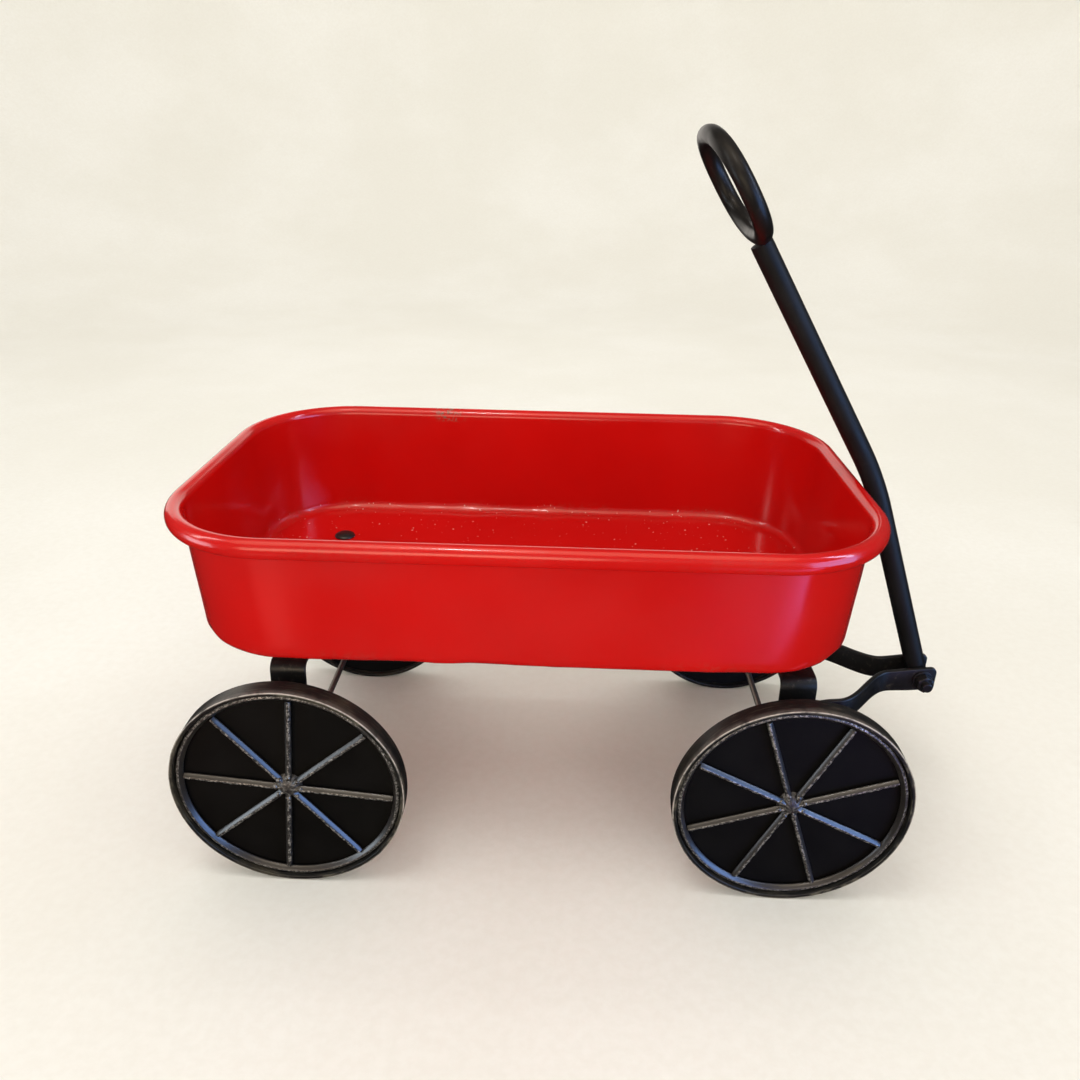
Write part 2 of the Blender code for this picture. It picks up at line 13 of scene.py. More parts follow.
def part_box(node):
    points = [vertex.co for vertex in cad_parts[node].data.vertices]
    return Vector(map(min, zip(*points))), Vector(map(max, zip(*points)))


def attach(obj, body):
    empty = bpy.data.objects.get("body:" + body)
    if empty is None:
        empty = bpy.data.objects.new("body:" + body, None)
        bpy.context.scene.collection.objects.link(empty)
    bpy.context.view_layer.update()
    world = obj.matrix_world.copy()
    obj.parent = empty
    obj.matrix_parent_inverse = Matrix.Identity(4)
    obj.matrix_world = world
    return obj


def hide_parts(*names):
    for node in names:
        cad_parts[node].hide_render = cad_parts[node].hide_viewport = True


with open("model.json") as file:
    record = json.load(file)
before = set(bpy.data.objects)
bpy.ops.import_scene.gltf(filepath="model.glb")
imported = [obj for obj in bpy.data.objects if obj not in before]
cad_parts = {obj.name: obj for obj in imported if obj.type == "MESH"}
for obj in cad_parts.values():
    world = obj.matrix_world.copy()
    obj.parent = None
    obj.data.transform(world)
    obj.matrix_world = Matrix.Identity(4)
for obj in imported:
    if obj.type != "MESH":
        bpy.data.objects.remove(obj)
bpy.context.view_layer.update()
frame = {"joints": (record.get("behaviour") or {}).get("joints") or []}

# ---------------------------------------------------------------- sizes read from the frame
AXIS = {joint["name"]: Vector(joint["pos_m"]) for joint in frame["joints"]}
TRAY_LOW, TRAY_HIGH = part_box("tray")
TRAY_MIDDLE = (TRAY_LOW + TRAY_HIGH) / 2
REAR, FRONT = AXIS["rear_left_spin"], AXIS["front_left_spin"]
PIVOT = AXIS["handle_tilt"]

# ---------------------------------------------------------------- sizes that no box gives
GAP = 0.0003                    # between touching pieces

# tray
SHEET = 0.0012
RIM_WIDE, RIM_HIGH = 0.012, 0.014
FLOOR_LENGTH, FLOOR_WIDTH = 0.4718, 0.2732      # outside of the tray at its floor
TRAY_CORNER = 0.075
TRAY_FILLET = 0.0075
RIM_ROLLED = math.radians(290)
FLOOR_RIPPLE, FILLET_RIPPLE, WALL_RIPPLE, RIM_RIPPLE = 0.00012, 0.0020, 0.00022, 0.00004
SCUFF_X, SCUFF_HALF = -0.082, 0.012             # scuff on the left rim, from the tray's middle

# brackets
STRAP, STRAP_WIDE, STRAP_BEND = 0.0030, 0.0254, 0.0080
STRAP_CORNER_Y, STRAP_FOOT_Y = 0.1120, 0.1180

# yoke arms
ARM_THICK = 0.0040
ARM_HIGH, ARM_END_HIGH = 0.0190, 0.0205
ARM_NEAR_Y, ARM_FAR_Y = 0.0106, 0.0470
ARM_SLOPE = 0.105
ARM_TIP, ARM_TIP_ROUND = 0.0110, 0.0050         # past the pivot, and its corners' radius
ARM_BEND_LOW, ARM_BEND_HIGH, ARM_DROP = 0.252, 0.302, 0.244     # from the tray's middle along x

# pull handle
TUBE_RADIUS = 0.0080
TUBE_TAIL = 0.0090              # past the pivot
TUBE_KNEE = Vector((TRAY_MIDDLE.x + 0.2632, 0.0, 0.2835))
TUBE_KNEE_RADIUS = 0.250
GRIP_CENTRE = Vector((TRAY_MIDDLE.x + 0.1338, 0.0, 0.4895))
GRIP_RADIUS = 0.0061
GRIP_HALF_WIDE, GRIP_HALF_LONG = 0.0550, 0.0364
GRIP_SQUARENESS = 0.85          # 1 is an ellipse, less is squarer

# wheels
SPOKE_RADIUS, RING_RADIUS = 0.0029, 0.0030
SPOKE_START = 0.0045            # a bar's inner end, inside the weld
BAR_SIDES = 28
FACET = (0.735, 0.68)           # a bar's smooth flat faces upwards and outwards
FACET_CUT, FACET_PRESSED = 0.78, 0.85           # the flat's distance out, and how flat it is
EDGE_WEAR = 0.0008              # width of the worn line on a hoop's outer edge
FRONT_TURN, REAR_TURN = math.radians(-19.0), math.radians(5.5)
WELD_HIGH = 0.0062
BEAD_RADIUS, BEAD_FROM_CENTRE, BEAD_LIFT = 0.0019, 0.0092, 0.0040
HUB_BORE = 0.0026

# bolts and nuts; the kingpin and the pivot bolt are one size
BOLT_SHANK, BOLT_HEAD_HIGH, BOLT_BORE, BOLT_FLATS = 0.0030, 0.0036, 0.0032, 0.0100
PIN_SHANK, PIN_HEAD_HIGH, PIN_BORE, PIN_FLATS = 0.0040, 0.0044, 0.0041, 0.0130
PIVOT_HEAD_HIGH, PIVOT_WASHER_BORE = 0.0053, 0.0042
POST_PLATE_RADIUS, POST_RADIUS = 0.0260, 0.0150
POST_PLATE_EDGE, POST_NECK = 0.0025, 0.0040     # below the post's top

# meshes
POINT_LIKE = 0.00001            # radius that stands for a closed point
NUT_SHARP = math.radians(32)    # a nut's edges look sharp from this angle
CORNERS = ((1, 1), (-1, 1), (-1, -1), (1, -1))  # of a rectangle, anticlockwise
PAINTED = ("wear", "polish", "dust")            # values painted on the points, for the materials


# ---------------------------------------------------------------- material building blocks
class Shade:
    """A node material with short calls for the nodes used here."""

    def __init__(self, name):
        self.material = bpy.data.materials.new(name)
        self.material.use_nodes = True
        self.tree = self.material.node_tree
        self.shader = self.tree.nodes["Principled BSDF"]
        self.point = self.add("ShaderNodeTexCoord").outputs["Object"]

    def add(self, kind, **settings):
        node = self.tree.nodes.new(kind)
        for key, value in settings.items():
            setattr(node, key, value)
        return node

    def join(self, source, target):
        if isinstance(source, bpy.types.NodeSocket):
            self.tree.links.new(source, target)
        else:
            target.default_value = source

    def noise(self, scale, detail=4.0, rough=0.55, stretch=(1, 1, 1)):
        spread = self.add("ShaderNodeMapping")
        spread.inputs["Scale"].default_value = stretch
        self.join(self.point, spread.inputs["Vector"])
        node = self.add("ShaderNodeTexNoise")
        self.join(spread.outputs["Vector"], node.inputs["Vector"])
        for key, value in (("Scale", scale), ("Detail", detail), ("Roughness", rough)):
            node.inputs[key].default_value = value
        return node.outputs["Fac"]

    def span(self, value, low, high, out_low=0.0, out_high=1.0):
        node = self.add("ShaderNodeMapRange", interpolation_type="SMOOTHSTEP")
        for key, entry in (("Value", value), ("From Min", low), ("From Max", high),
                           ("To Min", out_low), ("To Max", out_high)):
            self.join(entry, node.inputs[key])
        return node.outputs["Result"]

    def math(self, operation, one, two=0.0):
        node = self.add("ShaderNodeMath", operation=operation, use_clamp=operation != "SUBTRACT")
        self.join(one, node.inputs[0])
        self.join(two, node.inputs[1])
        return node.outputs[0]

    def mix(self, factor, one, two):
        node = self.add("ShaderNodeMix", data_type="RGBA")
        self.join(factor, node.inputs["Factor"])
        for entry, socket in ((one, node.inputs[6]), (two, node.inputs[7])):
            self.join(entry if isinstance(entry, bpy.types.NodeSocket) else (*entry, 1.0), socket)
        return node.outputs[2]

    def painted_value(self, name):
        return self.add("ShaderNodeAttribute", attribute_name=name).outputs["Fac"]

    def bump(self, height, strength, distance):
        node = self.add("ShaderNodeBump")
        node.inputs["Strength"].default_value = strength
        node.inputs["Distance"].default_value = distance
        self.join(height, node.inputs["Height"])
        self.join(node.outputs["Normal"], self.shader.inputs["Normal"])

    def set(self, **inputs):
        for key, value in inputs.items():
            self.join(value, self.shader.inputs[key.replace("_", " ")])
        return self.material


def enamel():
    """Glossy red enamel, a little wavy, with dust on the floor of the tray and a few scuffs."""
    s = Shade("red_enamel")
    patches = s.span(s.noise(7.0, 2.0), 0.30, 0.70)
    colour = s.mix(patches, (0.53, 0.0034, 0.0026), (0.60, 0.0044, 0.0034))
    worn = s.math("MULTIPLY", s.painted_value("wear"), s.span(s.noise(240.0, 5.0, 0.7), 0.46, 0.58))
    colour = s.mix(worn, colour, (0.17, 0.085, 0.055))
    dust = s.math("MULTIPLY", s.painted_value("dust"), s.span(s.noise(330.0, 1.0), 0.73, 0.79))
    colour = s.mix(dust, colour, (0.75, 0.42, 0.34))
    marks = s.math("MULTIPLY", s.math("ADD", worn, dust), 0.3)
    rough = s.math("ADD", s.span(s.noise(18.0, 4.0), 0.3, 0.7, 0.15, 0.22), marks)
    waves = s.math("ADD", s.noise(24.0, 2.0), s.math("MULTIPLY", s.noise(300.0, 2.0), 0.04))
    s.bump(waves, 0.16, 0.0012)
    return s.set(Base_Color=colour, Roughness=rough, Specular_IOR_Level=0.5, Coat_Weight=0.10,
                 Coat_Roughness=0.08)


def black_paint(name, colour, rough, sheen, worn_colour=(0.10, 0.085, 0.07), grain=0.08):
    """Black paint with a fine grain, uneven gloss and rubbed edges."""
    s = Shade(name)
    cloudy = s.span(s.noise(30.0, 4.0), 0.3, 0.7)
    tone = s.mix(cloudy, tuple(0.85 * part for part in colour), tuple(1.2 * part for part in colour))
    rubbed = s.math("MULTIPLY", s.painted_value("wear"), s.span(s.noise(260.0, 5.0, 0.7), 0.56, 0.70))
    tone = s.mix(rubbed, tone, worn_colour)
    gloss = s.span(s.noise(60.0, 4.0), 0.3, 0.7, rough - 0.04, rough + 0.06)
    surface = s.math("ADD", s.noise(700.0, 3.0), s.math("MULTIPLY", s.noise(60.0, 2.0), 0.6))
    s.bump(surface, grain, 0.0004)
    return s.set(Base_Color=tone, Roughness=gloss, Specular_IOR_Level=sheen)


def rubbed_bar():
    """Glossy black bar with a line of silver flecks rubbed through along its hammered side."""
    s = Shade("rubbed_spoke")
    rubbed = s.math("MULTIPLY", s.painted_value("wear"), s.span(s.noise(520.0, 4.0, 0.7), 0.49, 0.57))
    paint = s.mix(s.noise(45.0, 3.0), (0.012, 0.010, 0.009), (0.026, 0.022, 0.019))
    hammered = s.math("SUBTRACT", 1.0, s.painted_value("polish"))
    lumps = s.math("ADD", s.noise(700.0, 4.0, 0.7), s.math("MULTIPLY", s.noise(180.0, 3.0), 0.8))
    s.bump(s.math("MULTIPLY", lumps, hammered), 0.5, 0.0006)
    silver = (0.62, 0.59, 0.55)
    return s.set(Base_Color=s.mix(rubbed, paint, silver), Metallic=s.math("MULTIPLY", rubbed, 0.8),
                 Roughness=s.span(hammered, 0.0, 1.0, 0.30, 0.44), Specular_IOR_Level=0.8)


def worn_tread():
    """Dark hoop with fine streaks, brown rubbed patches and a thin pale line on its outer edge."""
    s = Shade("worn_tread")
    streaks = s.noise(60.0, 5.0, 0.7, stretch=(1, 18, 1))
    patches = s.span(s.noise(22.0, 4.0, 0.6), 0.46, 0.70)
    colour = s.mix(patches, (0.009, 0.009, 0.009), (0.050, 0.043, 0.030))
    colour = s.mix(s.span(streaks, 0.52, 0.68), colour, (0.085, 0.076, 0.058))
    broken = s.span(s.noise(90.0, 4.0, 0.65), 0.30, 0.56, 0.15, 1.0)
    edge = s.math("MULTIPLY", s.painted_value("wear"), broken)
    colour = s.mix(edge, colour, (0.52, 0.47, 0.43))
    s.bump(s.math("ADD", streaks, s.math("MULTIPLY", s.noise(300.0, 3.0), 0.3)), 0.20, 0.0005)
    return s.set(Base_Color=colour, Specular_IOR_Level=0.3,
                 Roughness=s.span(streaks, 0.3, 0.7, 0.30, 0.42))


def bare_steel():
    """Dull drawn steel with fine lines round it."""
    s = Shade("axle_steel")
    lines = s.noise(160.0, 4.0, 0.6, stretch=(6, 1, 6))
    colour = s.mix(lines, (0.14, 0.12, 0.10), (0.30, 0.27, 0.24))
    s.bump(lines, 0.2, 0.0004)
    return s.set(Base_Color=colour, Metallic=0.9, Roughness=s.span(lines, 0.3, 0.7, 0.34, 0.52))


FINISH = {
    "enamel": enamel(),
    "strap": black_paint("black_strap", (0.0085, 0.0078, 0.0072), 0.38, 0.40),
    "fastener": black_paint("black_fastener", (0.009, 0.008, 0.008), 0.34, 0.5),
    "steel": bare_steel(),
    "tube": black_paint("black_tube", (0.0085, 0.0080, 0.0078), 0.46, 0.15),
    "grip": black_paint("black_grip", (0.0095, 0.0080, 0.0070), 0.36, 0.20, grain=0.01),
    "tread": worn_tread(),
    "disc": black_paint("black_disc", (0.0034, 0.0029, 0.0022), 0.60, 0.14,
                        worn_colour=(0.03, 0.025, 0.02)),
    "spoke": rubbed_bar(),
}


# ---------------------------------------------------------------- mesh building blocks
def finish_piece(name, mesh, slot, body, nodes, sharp=math.radians(50)):
    """Shade, link and dress a piece that stands for CAD nodes."""
    mesh.shade_smooth()
    mesh.set_sharp_from_angle(angle=sharp)
    mesh.materials.append(FINISH[slot])
    piece = bpy.data.objects.new(name, mesh)
    bpy.context.scene.collection.objects.link(piece)
    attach(piece, body)
    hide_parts(*nodes)
    return piece


def grid_mesh(rows, wrap_ends=False, caps=True, values=None):
    """Skin closed rows of points. values holds painted numbers for every point."""
    shape = bmesh.new()
    grid = [[shape.verts.new(point) for point in row] for row in rows]
    count = len(grid[0])
    pairs = list(zip(grid, grid[1:])) + ([(grid[-1], grid[0])] if wrap_ends else [])
    for one, two in pairs:
        for i in range(count):
            j = (i + 1) % count
            shape.faces.new((one[i], one[j], two[j], two[i]))
    if caps and not wrap_ends:
        shape.faces.new(grid[0])
        shape.faces.new(grid[-1])
    bmesh.ops.recalc_face_normals(shape, faces=shape.faces)
    mesh = bpy.data.meshes.new("fine")
    shape.verts.index_update()
    shape.to_mesh(mesh)
    shape.free()
    for key in PAINTED:
        layer = mesh.attributes.new(key, "FLOAT", "POINT")
        flat = [value for row in (values or {}).get(key, []) for value in row]
        layer.data.foreach_set("value", flat or [0.0] * len(mesh.vertices))
    return mesh


def merged(meshes):
    """One mesh out of several, keeping their painted values."""
    whole = bmesh.new()
    for mesh in meshes:
        whole.from_mesh(mesh)
    joined = bpy.data.meshes.new("fine")
    whole.to_mesh(joined)
    whole.free()
    return joined


def turned_rows(profile, centre, axis="y", steps=96, wobble=0.0, seed=0.0):
    """Rows of a profile of (radius, distance) turned about an axis; wobble dents all but the pole."""
    rows = []
    for radius, distance in profile:
        row = []
        for step in range(steps):
            angle = 2 * math.pi * step / steps
            spot = Vector((math.cos(angle) * 3 + seed, math.sin(angle) * 3, distance * 60))
            out = radius + (wobble * noise.noise(spot) if radius > 0.0005 else 0.0)
            one, two = out * math.cos(angle), out * math.sin(angle)
            local = (one, distance, two) if axis == "y" else (one, two, distance)
            row.append(Vector(centre) + Vector(local))
        rows.append(row)
    return rows


def soft_corners(profile, radius, closed, steps=4):
    """Round every corner of a profile with a small quadratic curve."""
    points = [Vector(point) for point in profile]
    count = len(points)
    result = []
    for i, point in enumerate(points):
        if not closed and i in (0, count - 1):
            result.append(point)
            continue
        before, after = points[i - 1], points[(i + 1) % count]
        reach = min(radius, (before - point).length * 0.45, (after - point).length * 0.45)
        start = point + (before - point).normalized() * reach
        end = point + (after - point).normalized() * reach
        for step in range(steps + 1):
            t = step / steps
            result.append(start * (1 - t) ** 2 + point * 2 * t * (1 - t) + end * t ** 2)
    return [tuple(point) for point in result]


def turned_piece(name, profile, centre, slot, body, nodes, axis="y", side=1, closed=True,
                 bevel=0.0004, steps=96, wear=0.0):
    """A turned piece with softened corners; closed joins the profile's last point to its first."""
    rounded = [(r, side * d) for r, d in soft_corners(profile, bevel, closed)]
    rows = turned_rows(rounded, centre, axis, steps)
    values = {"wear": [[wear] * steps for _ in rows]}
    mesh = grid_mesh(rows, wrap_ends=closed, caps=False, values=values)
    weld = bmesh.new()
    weld.from_mesh(mesh)
    bmesh.ops.remove_doubles(weld, verts=weld.verts, dist=0.0000005)
    bmesh.ops.recalc_face_normals(weld, faces=weld.faces)
    weld.to_mesh(mesh)
    weld.free()
    return finish_piece(name, mesh, slot, body, nodes)


def ring_profile(inner, outer, low, high):
    """A rectangle of (radius, distance) points, which turns into a washer or sleeve."""
    return [(outer, high), (outer, low), (inner, low), (inner, high)]


def arc_corner(before, corner, after, radius, segments):
    """Points of the arc that rounds a corner between two straight runs."""
    before, corner, after = Vector(before), Vector(corner), Vector(after)
    back, ahead = (before - corner).normalized(), (after - corner).normalized()
    half = back.angle(ahead) / 2
    centre = corner + (back + ahead).normalized() * (radius / math.sin(half))
    first = corner + back * (radius / math.tan(half)) - centre
    last = corner + ahead * (radius / math.tan(half)) - centre
    turn, axis = first.angle(last) / segments, first.cross(last)
    return [centre + Matrix.Rotation(turn * step, 3, axis) @ first for step in range(segments + 1)]


def refine(points, spacing):
    """Add points along a run so that none are further apart than the spacing."""
    result = [Vector(points[0])]
    for one, two in zip(points, points[1:]):
        one, two = Vector(one), Vector(two)
        cuts = max(1, math.ceil((two - one).length / spacing))
        result += [one.lerp(two, step / cuts) for step in range(1, cuts + 1)]
    return result


def flat_section(half_wide, half_thick, edge, steps=4):
    """A rounded rectangle as (across, through) points, anticlockwise."""
    edge = min(edge, half_thick * 0.95, half_wide * 0.95)
    points = []
    for corner, (sx, sy) in enumerate(CORNERS):
        for step in range(steps + 1):
            angle = math.pi / 2 * (corner + step / steps)
            points.append((sx * (half_wide - edge) + edge * math.cos(angle),
                           sy * (half_thick - edge) + edge * math.sin(angle)))
    return points


def smooth(value):
    """Clamp to 0..1 and ease both ends."""
    value = min(max(value, 0.0), 1.0)
    return value * value * (3 - 2 * value)


# ---------------------------------------------------------------- tray
def tray_outline(half_length, half_width, radius, corner_steps=24, long_steps=56, short_steps=22):
    """A rounded rectangle about the tray's middle, with points along its straight sides too."""
    points = []
    straight = (long_steps, short_steps, long_steps, short_steps)
    for corner, (sx, sy) in enumerate(CORNERS):
        arc = []
        for step in range(corner_steps + 1):
            angle = math.pi / 2 * (corner + step / corner_steps)
            arc.append(Vector((sx * (half_length - radius) + radius * math.cos(angle),
                               sy * (half_width - radius) + radius * math.sin(angle))))
        points += arc
        nx, ny = CORNERS[(corner + 1) % 4]
        turn = math.pi / 2 * (corner + 1)
        following = Vector((nx * (half_length - radius) + radius * math.cos(turn),
                            ny * (half_width - radius) + radius * math.sin(turn)))
        points += [arc[-1].lerp(following, k / straight[corner]) for k in range(1, straight[corner])]
    return points


def make_tray():
    """One open sheet from the floor up the wall and round the rolled rim, then thickened."""
    middle = SHEET / 2
    floor_z = TRAY_LOW.z + middle
    rim_z = TRAY_HIGH.z - RIM_HIGH / 2
    half_length, half_width = (TRAY_HIGH.x - TRAY_LOW.x) / 2, (TRAY_HIGH.y - TRAY_LOW.y) / 2
    low = (FLOOR_LENGTH / 2 - middle, FLOOR_WIDTH / 2 - middle)
    roll_wide, roll_high = RIM_WIDE / 2 - middle, RIM_HIGH / 2 - middle
    high = (half_length - RIM_WIDE + middle, half_width - RIM_WIDE + middle)
    rows, wear, dust = [], [], []

    def add(base, inset, z, ripple, worn=0.0, dusty=0.0):
        """One ring of points round the tray, dented by ripple, and what is painted on it."""
        row, marks = [], []
        ring = tray_outline(base[0] - inset, base[1] - inset, max(TRAY_CORNER - inset, 0.004))
        for x, y in ring:
            outward = Vector((x / base[0], y / base[1], 0)).normalized()
            wave = ripple * noise.noise(Vector((x * 34, y * 34, z * 20)))
            row.append(Vector((TRAY_MIDDLE.x + x, TRAY_MIDDLE.y + y, z)) - outward * abs(wave)
                       + Vector((0, 0, wave / 2)))
            rubbed = worn * smooth(0.3 + 2.2 * noise.noise(Vector((x * 16, y * 16, 3))))
            if worn and y > 0 and z > rim_z - RIM_HIGH / 4:
                rubbed = max(rubbed, smooth(1.4 - abs(x - SCUFF_X) / SCUFF_HALF))
            marks.append(rubbed)
        rows.append(row)
        wear.append(marks)
        dust.append([dusty] * len(row))

    for inset in (0.066, 0.050, 0.034, 0.020, 0.012, 0.006, 0.003):
        add(low, TRAY_FILLET + inset, floor_z, FLOOR_RIPPLE, dusty=1.0)
    for step in range(11):
        angle = math.pi / 2 * step / 10
        add(low, TRAY_FILLET * (1 - math.sin(angle)), floor_z + TRAY_FILLET * (1 - math.cos(angle)),
            FILLET_RIPPLE * math.sin(math.pi * step / 10), worn=0.12, dusty=1.0)
    wall_low, wall_high = floor_z + TRAY_FILLET, rim_z
    for step in range(1, 18):
        t = step / 18
        base = (low[0] + (high[0] - low[0]) * t, low[1] + (high[1] - low[1]) * t)
        add(base, 0.0, wall_low + (wall_high - wall_low) * t, WALL_RIPPLE * math.sin(math.pi * t))
    for step in range(31):
        angle = math.pi - RIM_ROLLED * step / 30
        add(high, -roll_wide * (1 + math.cos(angle)), rim_z + roll_high * math.sin(angle), RIM_RIPPLE,
            worn=0.05)
    sheet = grid_mesh(rows, caps=False, values={"wear": wear, "dust": dust})
    fill = bmesh.new()
    fill.from_mesh(sheet)
    fill.verts.ensure_lookup_table()
    fill.faces.new([fill.verts[i] for i in range(len(rows[0]))])
    bmesh.ops.recalc_face_normals(fill, faces=fill.faces)
    fill.to_mesh(sheet)
    fill.free()
    holder = bpy.data.objects.new("tray_sheet", sheet)
    bpy.context.scene.collection.objects.link(holder)
    solid = holder.modifiers.new("sheet", "SOLIDIFY")
    solid.thickness = SHEET
    solid.offset = 0.0
    solid.use_even_offset = True
    bpy.context.view_layer.update()
    thickened = holder.evaluated_get(bpy.context.evaluated_depsgraph_get())
    mesh = bpy.data.meshes.new_from_object(thickened)
    bpy.data.objects.remove(holder, do_unlink=True)
    # dust lies only on what faces up, and thickening has copied it to the underside
    dusty = mesh.attributes["dust"].data
    for vertex in mesh.vertices:
        if vertex.normal.z < 0.2:
            dusty[vertex.index].value = 0.0
    finish_piece("tray_shell", mesh, "enamel", "chassis", ["tray"], math.radians(60))


# ---------------------------------------------------------------- brackets
def make_bracket(name, body):
    """A strap bent down at both ends, with round feet and worn edges."""
    low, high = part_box(name)
    x = (low.x + high.x) / 2
    top = high.z - STRAP / 2
    foot = (0, STRAP_FOOT_Y, low.z)
    bend = arc_corner(foot, (0, STRAP_CORNER_Y, top), (0, 0, top), STRAP_BEND - STRAP / 2, 12)
    half = refine([foot, *bend], 0.003)
    path = half + [Vector((0, -p.y, p.z)) for p in reversed(half)]
    path = refine(path, 0.004)
    travelled, run = [0.0], 0.0
    for one, two in zip(path, path[1:]):
        run += (two - one).length
        travelled.append(run)
    total = travelled[-1]
    rows, wear = [], []
    foot_round = 0.008
    edge = 0.0006
    ends = [0.0, 0.0001, 0.0003, 0.0007] + [foot_round * k / 8 for k in range(1, 9)]
    stations = sorted({*ends, *[total - end for end in ends], *travelled})
    for distance in stations:
        i = max(k for k in range(len(path) - 1) if travelled[k] <= distance + 1e-9)
        t = (distance - travelled[i]) / max(travelled[i + 1] - travelled[i], 1e-9)
        point = path[i].lerp(path[i + 1], min(t, 1.0))
        before = path[max(i - 1, 0)]
        after = path[min(i + 2, len(path) - 1)]
        forward = (after - before).normalized()
        through = Vector((0, -forward.z, forward.y)).normalized()
        near = min(distance, total - distance)
        half_wide = STRAP_WIDE / 2
        if near < foot_round:
            half_wide -= foot_round - math.sqrt(max(foot_round ** 2 - (foot_round - near) ** 2, 0.0))
        half_wide = max(half_wide, 0.0016)
        half_thick = STRAP / 2 - max(0.0, edge - near)
        section = flat_section(half_wide, half_thick, edge)
        rows.append([Vector((x + across, point.y, point.z)) + through * depth
                     for across, depth in section])
        wear.append([0.5 if abs(abs(across) - half_wide) < edge else 0.03 for across, _ in section])
    mesh = grid_mesh(rows, values={"wear": wear})
    finish_piece(name + "_strap", mesh, "strap", body, [name])


# ---------------------------------------------------------------- bolts, washers, nuts, post, axles
def span_of(node):
    """A node's lowest and highest corners and its middle."""
    low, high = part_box(node)
    return low, high, (low + high) / 2


def spot_and_ends(node, axis):
    """Where a turned node's axis crosses zero, and the node's ends along that axis."""
    low, high, centre = span_of(node)
    if axis == "z":
        return (centre.x, centre.y, 0), low.z, high.z
    return (centre.x, 0, centre.z), low.y, high.y


def make_ring_like(node, bore, slot, body, axis="z"):
    """A washer, spacer or sleeve, its size read from the frame."""
    low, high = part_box(node)
    spot, start, end = spot_and_ends(node, axis)
    profile = ring_profile(bore, (high.x - low.x) / 2, start, end)
    turned_piece(node + "_fine", profile, spot, slot, body, [node], axis, bevel=0.0003, wear=0.25)


def make_dome_bolt(node, shank_radius, head_high, body):
    """A bolt that points down, with a low round head."""
    low, high, centre = span_of(node)
    radius = (high.x - low.x) / 2
    base = high.z - head_high
    dome = [(radius * math.sin(math.radians(a)), base + head_high * math.cos(math.radians(a)))
            for a in range(0, 90, 6)]
    profile = dome + [(radius, base), (shank_radius, base), (shank_radius, low.z), (0, low.z)]
    turned_piece(node + "_fine", profile, (centre.x, centre.y, 0), "fastener", body, [node], "z",
                 closed=False, bevel=0.0002, wear=0.3)


def hexagon_mesh(axis, flats, bore, low, high, centre, steps=96):
    """A nut or bolt head: six flats, corners chamfered into domed faces, with a hole if bore > 0."""
    rows = []
    across = flats / math.sqrt(3)
    chamfer = flats * 0.055

    def at(radius_of, distance):
        row = []
        for step in range(steps):
            angle = 2 * math.pi * step / steps
            radius = radius_of(angle)
            one, two = radius * math.cos(angle), radius * math.sin(angle)
            local = (one, distance, two) if axis == "y" else (one, two, distance)
            row.append(Vector(centre) + Vector(local))
        rows.append(row)

    def hexagon(angle):
        return flats / 2 / math.cos((angle + math.pi / 6) % (math.pi / 3) - math.pi / 6)

    def trimmed(limit):
        return lambda angle: min(hexagon(angle), limit)

    inner = max(bore, POINT_LIKE)
    round_face = flats / 2 * 0.97
    at(lambda angle: inner, low)
    for t in (0.0, 0.4, 1.0):
        at(trimmed(round_face + (across - round_face) * t), low + chamfer * t)
    for t in (1.0, 0.4, 0.0):
        at(trimmed(round_face + (across - round_face) * t), high - chamfer * t)
    at(lambda angle: inner, high)
    values = {"wear": [[0.5] * steps for _ in rows]}
    return grid_mesh(rows, wrap_ends=bore > 0, caps=bore == 0, values=values)


def make_nut(node, flats, bore, body, axis="z"):
    spot, start, end = spot_and_ends(node, axis)
    mesh = hexagon_mesh(axis, flats, bore, start, end, spot)
    finish_piece(node + "_fine", mesh, "fastener", body, [node], NUT_SHARP)


def make_axle(prefix, body):
    """An axle rod and the washers at its two ends."""
    node = prefix + "_axle"
    low, high, centre = span_of(node)
    radius = (high.z - low.z) / 2
    profile = [(0, high.y), (radius, high.y), (radius, low.y), (0, low.y)]
    turned_piece(node + "_rod", profile, (centre.x, 0, centre.z), "steel", body, [node],
                 closed=False, bevel=0.0005, steps=48)
    for word in ("left", "right"):
        make_ring_like(f"{prefix}_axle_washer_{word}", radius + GAP, "fastener", body, "y")


def make_post():
    """The post under the tray that the front bracket turns against, with a round plate on top."""
    spot, low, high = spot_and_ends("turntable_post", "z")
    profile = [(POST_PLATE_RADIUS, high), (POST_PLATE_RADIUS, high - POST_PLATE_EDGE),
               (POST_RADIUS, high - POST_NECK), (POST_RADIUS, low), (PIN_BORE, low), (PIN_BORE, high)]
    turned_piece("turntable_post_fine", profile, (spot[0], 0, 0), "strap", "chassis",
                 ["turntable_post"], "z", wear=0.2)


# ---------------------------------------------------------------- wheels
def rough(point, scale, seed):
    """Smooth noise, about -1 to 1; the seed shifts it so that no two wheels are alike."""
    return noise.noise(Vector((point[0] * scale + seed, point[1] * scale, point[2] * scale)))


def flattened(one, two, facet_one, facet_two):
    """A point of a unit circle, moved most of the way onto a flat that cuts the circle off."""
    over = max(one * facet_one + two * facet_two - FACET_CUT, 0.0) * FACET_PRESSED
    return one - facet_one * over, two - facet_two * over


